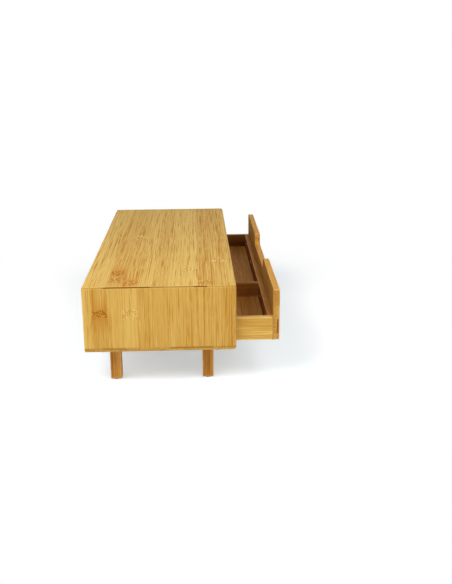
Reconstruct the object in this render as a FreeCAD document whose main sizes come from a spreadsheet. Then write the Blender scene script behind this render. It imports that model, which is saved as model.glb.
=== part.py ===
"""Low bamboo laptop stand on four legs, with one full-width drawer.

Millimetres. +X runs along the stand to the right of someone sitting at it, +Y runs from the drawer's
face to the closed back, +Z is up and z = 0 is the desk. The stand rests with its drawer pulled out by
drawer_pull, and the origin lies under the middle of that whole outline. Every piece is drawn in the
frame of the closed stand, whose origin is under the middle of the case, and its Placement then
carries it back by half of the pull (the case) or forward by half of it (the drawer).
"""
import FreeCAD, Part
import Sketcher
import os
import re

SHEET = "Sizes"

# The driving dimensions: alias, value, what it is.
SIZES = (
    ("case_length", 480, "case, end to end"),
    ("case_depth", 200, "case, front to back"),
    ("case_height", 90, "case, underside to top"),
    ("case_lift", 50, "desk to the underside of the case"),
    ("board_thickness", 9, "top, ends and bottom of the case"),
    ("back_thickness", 7, "back of the case"),
    ("bottom_lip", 5, "edge of the bottom that shows under the end panels"),
    ("top_round", 3, "rounding round the top's outline"),
    ("corner_round", 3.2, "rounding of the case's upright corners"),
    ("bottom_front_round", 4.5, "rounding of the bottom's lower front edge"),
    ("opening_ease", 0.8, "rounding of the case's front edges inside the drawer opening"),
    ("spline_thickness", 2.5, "tongue in each mitre"),
    ("spline_bite", 3, "depth of the tongue's groove in each board, square to the mitre"),
    ("spline_from_corner", 4.6, "inner corner of the mitre to the tongue's middle"),
    ("spline_front_stop", 12, "front of the case to the tongue's end"),
    ("fit_play", 0.05, "radial play of dowels, screws, bolts and inserts in their holes"),
    ("leg_width", 15, "side of the square legs"),
    ("leg_end_inset", 25, "end of the case to the leg"),
    ("leg_side_inset", 30, "front or back of the case to the leg"),
    ("leg_ease", 1.2, "rounding of the legs' edges"),
    ("foot_radius", 6, "rubber foot under each leg"),
    ("foot_thickness", 1.5, "rubber foot under each leg"),
    ("foot_ease", 0.5, "rounding of the foot's lower edge"),
    ("bolt_radius", 3, "hanger bolt"),
    ("bolt_in_leg", 22, "hanger bolt, length in the leg"),
    ("bolt_in_case", 7, "hanger bolt, length in the insert"),
    ("bolt_point", 4, "hanger bolt, length of the pointed end"),
    ("insert_radius", 4.5, "threaded insert"),
    ("insert_length", 7.5, "threaded insert"),
    ("dowel_radius", 2, "wooden dowels"),
    ("dowel_chamfer", 0.5, "wooden dowels, chamfer at each end"),
    ("case_dowel_in_end", 5, "back panel's dowels, length in the end panel"),
    ("case_dowel_in_back", 15, "back panel's dowels, length in the back panel"),
    ("case_dowel_margin", 14, "back panel's corner to its nearest dowel"),
    ("screw_radius", 1.5, "shank of the wood screws"),
    ("screw_head_radius", 3.2, "countersunk head of the wood screws"),
    ("screw_point", 3, "pointed end of the wood screws"),
    ("bottom_screw_length", 25, "screws up through the bottom"),
    ("bottom_screw_margin", 25, "front or back of the case to the nearest bottom screw"),
    ("guide_width", 10, "guide rail above the drawer's side, along X"),
    ("guide_height", 10, "guide rail above the drawer's side"),
    ("guide_gap", 0.7, "drawer's side to the guide rail above it"),
    ("guide_front_gap", 2, "closed drawer front to the guide rail"),
    ("guide_screw_length", 16, "screws through the guide rails"),
    ("guide_screw_margin", 22, "end of the guide rail to its nearest screw"),
    ("drawer_pull", 58, "how far the drawer stands open"),
    ("drawer_end_gap", 1.5, "end panel to the drawer"),
    ("drawer_floor_gap", 0.3, "running gap between the case's floor and the drawer"),
    ("drawer_top_gap", 1, "top of the opening to the drawer front"),
    ("drawer_rear_gap", 1, "back of the case to the closed drawer"),
    ("front_thickness", 9, "drawer front"),
    ("front_outer_ease", 1.5, "rounding round the drawer front's outer face"),
    ("front_inner_ease", 1, "rounding round the drawer front's inner face"),
    ("front_corner_round", 3, "upper corners of the drawer front"),
    ("notch_width", 150, "finger notch in the drawer front"),
    ("notch_shoulder_round", 8, "rounding at the top of the notch's sides"),
    ("notch_floor_round", 9, "rounding at the bottom of the notch's sides"),
    ("notch_side", 1, "straight part of the notch's sides"),
    ("wall_thickness", 7, "sides, back and inner front of the drawer"),
    ("wall_height", 32, "sides, back and inner front of the drawer"),
    ("tray_thickness", 3, "drawer bottom"),
    ("tray_rise", 6.5, "lower edge of the walls to the drawer bottom"),
    ("tray_groove", 3, "depth of the groove that holds the drawer bottom"),
    ("divider_thickness", 6, "divider"),
    ("divider_housing", 2, "depth of the divider's slots"),
    ("left_compartment", 145, "clear length of the left-hand compartment"),
    ("drawer_dowel_in_side", 4, "corner dowels, length in the drawer's side"),
    ("drawer_dowel_in_wall", 10, "corner dowels, length in the back or inner front"),
    ("drawer_dowel_margin", 6, "top of the wall to the upper dowel, and bottom groove to the lower"),
    ("front_screw_length", 13, "screws through the inner front"),
    ("front_screw_margin", 30, "end of each compartment to its nearest screw"),
    ("cut_margin", 5, "how far a cutting shape stands past the wood"),
)

# Places that follow from the sizes, as formulas of their names.
PLACES = {
    "half_length": "case_length / 2",
    "half_depth": "case_depth / 2",
    "case_top": "case_lift + case_height",
    "lip_top": "case_lift + bottom_lip",
    "inside_floor": "case_lift + board_thickness",
    "inside_top": "case_top - board_thickness",
    "inside_half": "half_length - board_thickness",
    "inside_back": "half_depth - back_thickness",
    "spline_out": "spline_from_corner / sqrt(2)",
    "spline_half": "spline_thickness / 2 / sqrt(2)",
    "spline_deep": "spline_bite / sqrt(2)",
    "leg_x": "half_length - leg_end_inset - leg_width / 2",
    "leg_y": "half_depth - leg_side_inset - leg_width / 2",
    "bottom_screw_x": "half_length - board_thickness / 2",
    "bottom_screw_y": "half_depth - bottom_screw_margin",
    "drawer_half": "inside_half - drawer_end_gap",
    "drawer_low": "inside_floor + drawer_floor_gap",
    "drawer_rear": "inside_back - drawer_rear_gap",
    "front_top": "inside_top - drawer_top_gap",
    "front_back": "front_thickness - half_depth",
    "notch_depth": "notch_shoulder_round + notch_side + notch_floor_round",
    "notch_low": "front_top - notch_depth",
    "wall_top": "drawer_low + wall_height",
    "wall_half": "drawer_half - wall_thickness",
    "inner_front_back": "front_back + wall_thickness",
    "rear_front": "drawer_rear - wall_thickness",
    "tray_low": "drawer_low + tray_rise",
    "tray_top": "tray_low + tray_thickness",
    "divider_left": "left_compartment - wall_half",
    "divider_right": "divider_left + divider_thickness",
    "guide_low": "wall_top + guide_gap",
    "guide_front": "front_back + guide_front_gap",
    "guide_inner": "inside_half - guide_width",
    "guide_screw_z": "guide_low + guide_height / 2",
    "drawer_dowel_low": "tray_top + drawer_dowel_margin",
    "drawer_dowel_high": "wall_top - drawer_dowel_margin",
    "front_screw_z": "(tray_top + wall_top) / 2",
}

# For each axis: the origin plane square to it, and which way along the axis its sketches face.
PLANES = {
    "X": ("YZ_Plane", 1),
    "Y": ("XZ_Plane", -1),
    "Z": ("XY_Plane", 1),
}

ALIASES = {alias for alias, value, meaning in SIZES}
CUTS = ("PartDesign::Pocket", "PartDesign::Hole")
ENDS = {"left": -1, "right": 1}
SIDES = {"front": -1, "rear": 1}

doc = FreeCAD.newDocument("laptop_stand")
nodes = []
TOLERANCE = 0.001


def make_sheet():
    """Spreadsheet with the driving dimensions, one alias each."""
    sheet = doc.addObject("Spreadsheet::Sheet", SHEET)
    for row, (alias, value, meaning) in enumerate(SIZES, 2):
        sheet.set(f"A{row}", meaning)
        sheet.set(f"B{row}", str(value))
        sheet.setAlias(f"B{row}", alias)
    doc.recompute()
    return sheet


def formula(text):
    """The expression for a text in size and place names."""
    def spell(match):
        word = match.group()
        if word in ALIASES:
            return f"{SHEET}.{word}"
        if word in PLACES:
            return f"({formula(PLACES[word])})"
        return word
    return re.sub(r"[a-z_]+", spell, text)


sizes = make_sheet()


def value_of(text):
    """The value in millimetres of a text in size and place names."""
    return float(sizes.evalExpression(formula(text)))


def bind(thing, prop, text):
    """Tie a property to the sheet."""
    thing.setExpression(prop, formula(text))


def bind_place(thing, x, y, z):
    """Tie an object's position to the sheet."""
    for axis, text in zip("xyz", (x, y, z)):
        bind(thing, f"Placement.Base.{axis}", text)


def sketch_on(body, name, axis, at):
    """An empty sketch square to an axis, at a place along it."""
    role, facing = PLANES[axis]
    sketch = body.newObject("Sketcher::SketchObject", f"{body.Name}_{name}")
    plane = next(item for item in body.Origin.OriginFeatures if item.Role == role)
    sketch.AttachmentSupport = [(plane, "")]
    sketch.MapMode = "FlatFace"
    bind(sketch, "AttachmentOffset.Base.z", f"{facing} * ({at})")
    return sketch


def fix_point(sketch, edge, point, u, v):
    """Tie a sketch point's two coordinates to the sheet."""
    for kind, text in (("DistanceX", u), ("DistanceY", v)):
        index = sketch.addConstraint(Sketcher.Constraint(kind, edge, point, value_of(text)))
        bind(sketch, f"Constraints[{index}]", text)


def draw_outline(sketch, corners):
    """Closed outline through corners given as pairs of formulas."""
    points = [FreeCAD.Vector(value_of(u), value_of(v), 0) for u, v in corners]
    count = len(points)
    for index, point in enumerate(points):
        sketch.addGeometry(Part.LineSegment(point, points[(index + 1) % count]))
    for index in range(count):
        sketch.addConstraint(Sketcher.Constraint("Coincident", index, 2, (index + 1) % count, 1))
    for index, (u, v) in enumerate(corners):
        fix_point(sketch, index, 1, u, v)


def draw_circles(sketch, centres, radius):
    """Equal circles, with their centres given as pairs of formulas."""
    for index, (u, v) in enumerate(centres):
        centre = FreeCAD.Vector(value_of(u), value_of(v), 0)
        sketch.addGeometry(Part.Circle(centre, FreeCAD.Vector(0, 0, 1), value_of(radius)))
        fix_point(sketch, index, 3, u, v)
        size = sketch.addConstraint(Sketcher.Constraint("Radius", index, value_of(radius)))
        bind(sketch, f"Constraints[{size}]", radius)


def rectangle(low, high):
    """The four corners between two opposite ones."""
    return [(low[0], low[1]), (high[0], low[1]), (high[0], high[1]), (low[0], high[1])]


def extrude(body, kind, sketch, length, along, both_ways=False):
    """Pad or Pocket of a sketch. along is +1 or -1, towards + or - of the sketch's own facing."""
    feature = body.newObject(f"PartDesign::{kind}", f"{sketch.Name}_{kind.lower()}")
    feature.Profile = sketch
    bind(feature, "Length", length)
    if both_ways:
        feature.SideType = "Symmetric"
    elif kind == "Pad":
        feature.Reversed = along < 0
    else:
        feature.Reversed = along > 0
    doc.recompute()
    return feature


def new_body(node):
    """An empty body for one piece."""
    return doc.addObject("PartDesign::Body", node)


def add_block(body, name, low, high):
    """Pad a block between two corners given as triples of formulas."""
    sketch = sketch_on(body, name, "Z", low[2])
    draw_outline(sketch, rectangle(low, high))
    return extrude(body, "Pad", sketch, f"({high[2]}) - ({low[2]})", 1)


def cut_block(body, name, low, high):
    """Pocket a block between two corners given as triples of formulas."""
    sketch = sketch_on(body, name, "Z", high[2])
    draw_outline(sketch, rectangle(low, high))
    return extrude(body, "Pocket", sketch, f"({high[2]}) - ({low[2]})", -1)


def bore(body, name, axis, at, centres, radius, depth, toward):
    """Blind round holes from a plane, toward + or - along the axis."""
    sketch = sketch_on(body, name, axis, at)
    draw_circles(sketch, centres, radius)
    return extrude(body, "Pocket", sketch, depth, toward * PLANES[axis][1])


def countersink(body, name, axis, at, centres, toward):
    """Through holes for the wood screws, with their heads flush in the plane that they start from."""
    sketch = sketch_on(body, name, axis, at)
    draw_circles(sketch, centres, "screw_radius + fit_play")
    doc.recompute()
    hole = body.newObject("PartDesign::Hole", f"{sketch.Name}_hole")
    hole.Profile = sketch
    hole.DepthType = "ThroughAll"
    hole.HoleCutType = "Countersink"
    hole.HoleCutCustomValues = True
    hole.HoleCutCountersinkAngle = 90
    hole.Reversed = toward * PLANES[axis][1] > 0
    bind(hole, "Diameter", "2 * (screw_radius + fit_play)")
    bind(hole, "HoleCutDiameter", "2 * (screw_head_radius + fit_play)")
    doc.recompute()
    return hole


def ease(body, name, radius, chosen):
    """Round the edges of the body's tip whose start, middle and end all pass the test."""
    tip = body.Tip
    names = []
    for number, edge in enumerate(tip.Shape.Edges, 1):
        first = edge.FirstParameter
        last = edge.LastParameter
        spots = [edge.valueAt(first), edge.valueAt((first + last) / 2), edge.valueAt(last)]
        if all(chosen(spot) for spot in spots):
            names.append(f"Edge{number}")
    fillet = body.newObject("PartDesign::Fillet", f"{body.Name}_{name}")
    fillet.Base = (tip, names)
    bind(fillet, "Radius", radius)
    doc.recompute()
    return fillet


def near(value, target):
    """Whether two coordinates are the same place."""
    return abs(value - target) < TOLERANCE


def finish(item, shift):
    """Put a piece in its place with the case or the drawer, and list it as a node."""
    bind(item, "Placement.Base.y", shift)
    nodes.append(item)


def finish_case(item):
    """A piece of the case stands back by half of the pull."""
    finish(item, "drawer_pull / 2")


def finish_drawer(item):
    """A piece of the drawer stands forward by half of the pull."""
    finish(item, "-drawer_pull / 2")


def turned(body, name, outline):
    """Revolve an outline, in pairs of radius and height, about the body's own Z axis."""
    sketch = sketch_on(body, name, "Y", "0")
    draw_outline(sketch, outline)
    turning = body.newObject("PartDesign::Revolution", f"{sketch.Name}_turning")
    turning.Profile = sketch
    turning.ReferenceAxis = (sketch, ["V_Axis"])
    turning.Angle = 360
    doc.recompute()
    return body


def make_screw(name, length):
    """Countersunk wood screw, with the top of its head at z = 0 and its point down."""
    return turned(new_body(name), "profile", [
        ("0", "0"),
        ("screw_head_radius", "0"),
        ("screw_radius", "screw_radius - screw_head_radius"),
        ("screw_radius", f"screw_point - {length}"),
        ("0", f"-{length}"),
    ])


def make_dowel(name, length):
    """Wooden dowel with chamfered ends, from z = 0 up."""
    return turned(new_body(name), "profile", [
        ("0", "0"),
        ("dowel_radius - dowel_chamfer", "0"),
        ("dowel_radius", "dowel_chamfer"),
        ("dowel_radius", f"{length} - dowel_chamfer"),
        ("dowel_radius - dowel_chamfer", length),
        ("0", length),
    ])


def make_group(node, pattern, stations):
    """One node of equal solids: links to one body, each at a place and turn."""
    links = []
    for number, (x, y, z, turn) in enumerate(stations, 1):
        link = doc.addObject("App::Link", f"{node}_{number}")
        link.LinkedObject = pattern
        link.Placement = FreeCAD.Placement(FreeCAD.Vector(), turn)
        bind_place(link, x, y, z)
        links.append(link)
    group = doc.addObject("Part::Compound", node)
    group.Links = links
    doc.recompute()
    return group


UPRIGHT = FreeCAD.Rotation()
HEAD_DOWN = FreeCAD.Rotation(FreeCAD.Vector(1, 0, 0), 180)
POINT_FRONT = FreeCAD.Rotation(FreeCAD.Vector(1, 0, 0), -90)
POINT_LEFT = FreeCAD.Rotation(FreeCAD.Vector(0, 1, 0), 90)
POINT_RIGHT = FreeCAD.Rotation(FreeCAD.Vector(0, 1, 0), -90)
LYING = FreeCAD.Rotation(FreeCAD.Vector(0, 1, 0), 90)


def mirrored(text, way):
    """A coordinate on the left (-1) or right (+1), or the front (-1) or rear (+1)."""
    return f"{way} * ({text})"


def mitre_groove(way):
    """Outline of the tongue across one mitre, in X and Z."""
    steps = [(-1, -1), (1, -1), (1, 1), (-1, 1)]
    corners = []
    for along, across in steps:
        x = f"inside_half + spline_out + {along} * spline_half + {across} * spline_deep"
        z = f"inside_top + spline_out + {along} * spline_half - {across} * spline_deep"
        corners.append((mirrored(x, way), z))
    return corners


def cut_mitre_groove(body, way):
    """Groove for the tongue, from the back and stopped short of the front."""
    sketch = sketch_on(body, f"groove_{'right' if way > 0 else 'left'}", "Y", "half_depth")
    draw_outline(sketch, mitre_groove(way))
    return extrude(body, "Pocket", sketch, "case_depth - spline_front_stop", 1)


def cut_across(body, name, corners):
    """Cut a profile in X and Z through the whole depth of the case."""
    sketch = sketch_on(body, name, "Y", "0")
    draw_outline(sketch, corners)
    return extrude(body, "Pocket", sketch, "case_depth + 2 * cut_margin", 1, both_ways=True)


def round_case_corners(body, faces_top):
    """Round the upright outer corners and, for a piece that has them, the edges round the top."""
    end = value_of("half_length")
    front = value_of("half_depth")
    top = value_of("case_top")

    def upright(spot):
        return near(abs(spot.x), end) and near(abs(spot.y), front)

    def round_top(spot):
        outside = abs(spot.x) > value_of("inside_half") + value_of("opening_ease")
        on_side = abs(spot.y) > front - value_of("corner_round") - TOLERANCE
        return near(spot.z, top) and (outside or on_side)

    ease(body, "corners", "corner_round", upright)
    if faces_top:
        ease(body, "top", "top_round", round_top)


def make_top_panel():
    """Top, mitred to the end panels."""
    body = new_body("top_panel")
    add_block(body, "blank", ("-half_length", "-half_depth", "inside_top"),
              ("half_length", "half_depth", "case_top"))
    round_case_corners(body, faces_top=True)
    for name, way in ENDS.items():
        cut_across(body, f"{name}_mitre", [
            (mirrored("inside_half", way), "inside_top"),
            (mirrored("half_length + cut_margin", way), "case_top + cut_margin"),
            (mirrored("half_length + cut_margin", way), "inside_top - cut_margin"),
            (mirrored("inside_half", way), "inside_top - cut_margin"),
        ])
        cut_mitre_groove(body, way)
    front = value_of("-half_depth")
    low = value_of("inside_top")
    ease(body, "opening", "opening_ease", lambda spot: near(spot.y, front) and near(spot.z, low))
    finish_case(body)


def back_dowel_places():
    """Heights of the dowels in each end of the back panel."""
    return ["inside_floor + case_dowel_margin", "(inside_floor + inside_top) / 2",
            "inside_top - case_dowel_margin"]


def guide_screw_places():
    """Places along Y of the screws in each guide rail."""
    return ["guide_front + guide_screw_margin", "(guide_front + inside_back) / 2",
            "inside_back - guide_screw_margin"]


def make_end_panel(name, way):
    """End of the case, mitred at the top, standing on the lip of the bottom."""
    body = new_body(f"{name}_end_panel")
    add_block(body, "blank", (mirrored("half_length", way), "-half_depth", "lip_top"),
              (mirrored("inside_half", way), "half_depth", "case_top"))
    round_case_corners(body, faces_top=True)
    cut_across(body, "mitre", [
        (mirrored("inside_half", way), "inside_top"),
        (mirrored("half_length + cut_margin", way), "case_top + cut_margin"),
        (mirrored("inside_half - cut_margin", way), "case_top + cut_margin"),
        (mirrored("inside_half - cut_margin", way), "inside_top"),
    ])
    cut_mitre_groove(body, way)
    inner = mirrored("inside_half", way)
    dowels = [("half_depth - back_thickness / 2", z) for z in back_dowel_places()]
    bore(body, "dowel_holes", "X", inner, dowels, "dowel_radius + fit_play", "case_dowel_in_end", way)
    rail = [(y, "guide_screw_z") for y in guide_screw_places()]
    bore(body, "guide_screw_holes", "X", inner, rail, "screw_radius + fit_play",
         "guide_screw_length - guide_width", way)
    screws = [(mirrored("bottom_screw_x", way), y) for y in bottom_screw_places()]
    bore(body, "bottom_screw_holes", "Z", "lip_top", screws, "screw_radius + fit_play",
         "bottom_screw_length - bottom_lip", 1)
    front = value_of("-half_depth")
    inside = value_of("inside_half")
    ease(body, "opening", "opening_ease",
         lambda spot: near(spot.y, front) and near(abs(spot.x), inside))
    finish_case(body)


def bottom_screw_places():
    """Places along Y of the screws up into each end panel."""
    return ["-bottom_screw_y", "0", "bottom_screw_y"]


def leg_places():
    """Names of the legs with the middles of their tops."""
    return {
        f"{side}_{end}": (mirrored("leg_x", way), mirrored("leg_y", depth_way))
        for side, depth_way in SIDES.items()
        for end, way in ENDS.items()
    }


def make_bottom_panel():
    """Bottom, rebated at its ends so that a lip runs under the end panels."""
    body = new_body("bottom_panel")
    add_block(body, "blank", ("-half_length", "-half_depth", "case_lift"),
              ("half_length", "half_depth", "inside_floor"))
    end = value_of("half_length")
    front = value_of("half_depth")
    low = value_of("case_lift")
    high = value_of("inside_floor")
    arris = value_of("bottom_front_round")
    ease(body, "front_edge", "bottom_front_round",
         lambda spot: near(spot.y, -front) and near(spot.z, low))
    ease(body, "corners", "corner_round",
         lambda spot: near(abs(spot.x), end) and abs(spot.y) > front - arris - TOLERANCE
         and not (near(spot.z, high) and abs(spot.y) < front - TOLERANCE))
    for name, way in ENDS.items():
        cut_block(body, f"{name}_rebate",
                  (mirrored("inside_half", way), "-half_depth - cut_margin", "lip_top"),
                  (mirrored("half_length + cut_margin", way), "half_depth + cut_margin",
                   "inside_floor + cut_margin"))
    inside = value_of("inside_half")
    ease(body, "opening", "opening_ease",
         lambda spot: near(spot.y, -front) and near(spot.z, high)
         and abs(spot.x) < inside + TOLERANCE)
    bore(body, "insert_holes", "Z", "case_lift", list(leg_places().values()),
         "insert_radius + fit_play", "insert_length", 1)
    screws = [(mirrored("bottom_screw_x", way), y) for way in ENDS.values()
              for y in bottom_screw_places()]
    countersink(body, "screw_holes", "Z", "case_lift", screws, 1)
    finish_case(body)


def make_back_panel():
    """Closed back, flush between the top, the bottom and the ends."""
    body = new_body("back_panel")
    add_block(body, "board", ("-inside_half", "inside_back", "inside_floor"),
              ("inside_half", "half_depth", "inside_top"))
    centres = [("half_depth - back_thickness / 2", z) for z in back_dowel_places()]
    for name, way in ENDS.items():
        bore(body, f"{name}_dowel_holes", "X", mirrored("inside_half", way), centres,
             "dowel_radius + fit_play", "case_dowel_in_back", -way)
    finish_case(body)


def make_mitre_spline(name, way):
    """Tongue glued across a mitre."""
    body = new_body(f"{name}_mitre_spline")
    sketch = sketch_on(body, "profile", "Y", "half_depth")
    draw_outline(sketch, mitre_groove(way))
    extrude(body, "Pad", sketch, "case_depth - spline_front_stop", 1)
    finish_case(body)


def make_back_dowels():
    """Dowels between the back panel and the end panels."""
    pattern = make_dowel("back_dowel", "(case_dowel_in_end + case_dowel_in_back)")
    stations = [("-inside_half - case_dowel_in_end", z) for z in back_dowel_places()]
    stations += [("inside_half - case_dowel_in_back", z) for z in back_dowel_places()]
    finish_case(make_group("back_panel_dowels", pattern, [
        (x, "half_depth - back_thickness / 2", z, LYING) for x, z in stations
    ]))


def make_bottom_screws():
    """Screws through the lip of the bottom, up into the end panels."""
    pattern = make_screw("bottom_screw", "bottom_screw_length")
    finish_case(make_group("bottom_panel_screws", pattern, [
        (mirrored("bottom_screw_x", way), y, "case_lift", HEAD_DOWN)
        for way in ENDS.values() for y in bottom_screw_places()
    ]))


def make_leg(name, x, y):
    """Square leg, bored for its hanger bolt."""
    body = new_body(f"{name}_leg")
    add_block(body, "post", (f"{x} - leg_width / 2", f"{y} - leg_width / 2", "foot_thickness"),
              (f"{x} + leg_width / 2", f"{y} + leg_width / 2", "case_lift"))
    centre_x = value_of(x)
    centre_y = value_of(y)
    half = value_of("leg_width / 2")
    ease(body, "edges", "leg_ease",
         lambda spot: near(abs(spot.x - centre_x), half) and near(abs(spot.y - centre_y), half))
    bore(body, "bolt_hole", "Z", "case_lift", [(x, y)], "bolt_radius + fit_play", "bolt_in_leg", -1)
    finish_case(body)


def make_foot(name, x, y):
    """Round rubber foot stuck under a leg."""
    body = new_body(f"{name}_foot")
    sketch = sketch_on(body, "disc", "Z", "0")
    draw_circles(sketch, [(x, y)], "foot_radius")
    extrude(body, "Pad", sketch, "foot_thickness", 1)
    ease(body, "edge", "foot_ease", lambda spot: near(spot.z, 0))
    finish_case(body)


def make_leg_fixings():
    """Hanger bolts in the legs and the threaded inserts that take them."""
    stations = [(x, y, "case_lift", UPRIGHT) for x, y in leg_places().values()]
    bolt = turned(new_body("hanger_bolt"), "profile", [
        ("0", "-bolt_in_leg"),
        ("bolt_radius", "bolt_point - bolt_in_leg"),
        ("bolt_radius", "bolt_in_case"),
        ("0", "bolt_in_case"),
    ])
    finish_case(make_group("leg_hanger_bolts", bolt, stations))
    insert = turned(new_body("insert"), "profile", [
        ("bolt_radius + fit_play", "0"),
        ("insert_radius", "0"),
        ("insert_radius", "insert_length"),
        ("bolt_radius + fit_play", "insert_length"),
    ])
    finish_case(make_group("leg_inserts", insert, stations))


def make_drawer_guide(name, way):
    """Rail on the end panel that keeps the drawer's side from tipping up."""
    body = new_body(f"{name}_drawer_guide")
    add_block(body, "rail", (mirrored("inside_half", way), "guide_front", "guide_low"),
              (mirrored("guide_inner", way), "inside_back", "guide_low + guide_height"))
    centres = [(y, "guide_screw_z") for y in guide_screw_places()]
    countersink(body, "screw_holes", "X", mirrored("guide_inner", way), centres, way)
    finish_case(body)


def make_guide_screws():
    """Screws through the guide rails into the end panels."""
    pattern = make_screw("guide_screw", "guide_screw_length")
    turns = {"left": POINT_LEFT, "right": POINT_RIGHT}
    finish_case(make_group("drawer_guide_screws", pattern, [
        (mirrored("guide_inner", way), y, "guide_screw_z", turns[name])
        for name, way in ENDS.items() for y in guide_screw_places()
    ]))


def front_screw_places():
    """Places along X of the screws through the inner front, clear of the divider."""
    return ["-wall_half + front_screw_margin", "divider_left - front_screw_margin",
            "divider_right + front_screw_margin", "(divider_right + wall_half) / 2",
            "wall_half - front_screw_margin"]


def make_drawer_front():
    """Tall drawer front with the finger notch in its upper edge."""
    body = new_body("drawer_front")
    add_block(body, "board", ("-drawer_half", "-half_depth", "drawer_low"),
              ("drawer_half", "front_back", "front_top"))
    cut_block(body, "notch", ("-notch_width / 2", "-half_depth - cut_margin", "notch_low"),
              ("notch_width / 2", "front_back + cut_margin", "front_top + cut_margin"))
    half = value_of("notch_width / 2")
    low = value_of("notch_low")
    top = value_of("front_top")
    end = value_of("drawer_half")
    outer = value_of("-half_depth")
    inner = value_of("front_back")
    base = value_of("drawer_low")
    ease(body, "notch_floor", "notch_floor_round",
         lambda spot: near(abs(spot.x), half) and near(spot.z, low))
    ease(body, "notch_shoulders", "notch_shoulder_round",
         lambda spot: near(abs(spot.x), half) and near(spot.z, top))
    ease(body, "corners", "front_corner_round",
         lambda spot: near(abs(spot.x), end) and near(spot.z, top))
    ease(body, "outer_edges", "front_outer_ease", lambda spot: near(spot.y, outer))
    ease(body, "inner_edges", "front_inner_ease",
         lambda spot: near(spot.y, inner) and not near(spot.z, base))
    centres = [(x, "front_screw_z") for x in front_screw_places()]
    bore(body, "screw_holes", "Y", "front_back", centres, "screw_radius + fit_play",
         "front_screw_length - wall_thickness", -1)
    finish_drawer(body)


def cut_tray_groove(body, low, high):
    """Groove for the drawer bottom between two corners in X and Y."""
    cut_block(body, "tray_groove", (low[0], low[1], "tray_low"), (high[0], high[1], "tray_top"))


def cut_wall_dowel_holes(body, middle):
    """Blind dowel holes in both ends of the inner front or the back."""
    centres = [(middle, "drawer_dowel_low"), (middle, "drawer_dowel_high")]
    for name, way in ENDS.items():
        bore(body, f"{name}_dowel_holes", "X", mirrored("wall_half", way), centres,
             "dowel_radius + fit_play", "drawer_dowel_in_wall", -way)


def make_drawer_inner_front():
    """Low inner front, screwed to the drawer front."""
    body = new_body("drawer_inner_front")
    add_block(body, "board", ("-wall_half", "front_back", "drawer_low"),
              ("wall_half", "inner_front_back", "wall_top"))
    cut_tray_groove(body, ("-wall_half - cut_margin", "inner_front_back - tray_groove"),
                    ("wall_half + cut_margin", "inner_front_back + cut_margin"))
    cut_block(body, "housing", ("divider_left", "inner_front_back - divider_housing", "tray_top"),
              ("divider_right", "inner_front_back + cut_margin", "wall_top + cut_margin"))
    cut_wall_dowel_holes(body, "front_back + wall_thickness / 2")
    countersink(body, "screw_holes", "Y", "inner_front_back",
                [(x, "front_screw_z") for x in front_screw_places()], -1)
    finish_drawer(body)


def make_drawer_back():
    """Back of the drawer."""
    body = new_body("drawer_back")
    add_block(body, "board", ("-wall_half", "rear_front", "drawer_low"),
              ("wall_half", "drawer_rear", "wall_top"))
    cut_tray_groove(body, ("-wall_half - cut_margin", "rear_front - cut_margin"),
                    ("wall_half + cut_margin", "rear_front + tray_groove"))
    cut_block(body, "housing", ("divider_left", "rear_front - cut_margin", "tray_top"),
              ("divider_right", "rear_front + divider_housing", "wall_top + cut_margin"))
    cut_wall_dowel_holes(body, "rear_front + wall_thickness / 2")
    finish_drawer(body)


def wall_dowel_places():
    """Places in Y and Z of the dowels in each side of the drawer."""
    return [(y, z) for y in ("front_back + wall_thickness / 2", "rear_front + wall_thickness / 2")
            for z in ("drawer_dowel_low", "drawer_dowel_high")]


def make_drawer_side(name, way):
    """Low side of the drawer, running the whole way from the drawer front to the back."""
    body = new_body(f"drawer_{name}_side")
    add_block(body, "board", (mirrored("drawer_half", way), "front_back", "drawer_low"),
              (mirrored("wall_half", way), "drawer_rear", "wall_top"))
    cut_tray_groove(body, (mirrored("wall_half + tray_groove", way), "inner_front_back - tray_groove"),
                    (mirrored("wall_half - cut_margin", way), "rear_front + tray_groove"))
    bore(body, "dowel_holes", "X", mirrored("wall_half", way), wall_dowel_places(),
         "dowel_radius + fit_play", "drawer_dowel_in_side", way)
    finish_drawer(body)


def make_drawer_bottom():
    """Thin drawer bottom, held in the grooves of all four walls."""
    body = new_body("drawer_bottom")
    add_block(body, "board",
              ("-wall_half - tray_groove", "inner_front_back - tray_groove", "tray_low"),
              ("wall_half + tray_groove", "rear_front + tray_groove", "tray_top"))
    finish_drawer(body)


def make_drawer_divider():
    """Divider, slotted into the inner front and the back."""
    body = new_body("drawer_divider")
    add_block(body, "board", ("divider_left", "inner_front_back - divider_housing", "tray_top"),
              ("divider_right", "rear_front + divider_housing", "wall_top"))
    finish_drawer(body)


def make_drawer_dowels():
    """Blind dowels at the drawer's four corners."""
    pattern = make_dowel("corner_dowel", "(drawer_dowel_in_side + drawer_dowel_in_wall)")
    starts = ("-wall_half - drawer_dowel_in_side", "wall_half - drawer_dowel_in_wall")
    finish_drawer(make_group("drawer_corner_dowels", pattern, [
        (x, y, z, LYING) for x in starts for y, z in wall_dowel_places()
    ]))


def make_front_screws():
    """Screws through the inner front into the drawer front."""
    pattern = make_screw("front_screw", "front_screw_length")
    finish_drawer(make_group("drawer_front_screws", pattern, [
        (x, "inner_front_back", "front_screw_z", POINT_FRONT) for x in front_screw_places()
    ]))


def make_case():
    """Everything that stands on the desk."""
    make_top_panel()
    make_bottom_panel()
    make_back_panel()
    make_back_dowels()
    make_bottom_screws()
    for name, way in ENDS.items():
        make_end_panel(name, way)
        make_mitre_spline(name, way)
        make_drawer_guide(name, way)
    make_guide_screws()
    for name, (x, y) in leg_places().items():
        make_leg(name, x, y)
        make_foot(name, x, y)
    make_leg_fixings()


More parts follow.
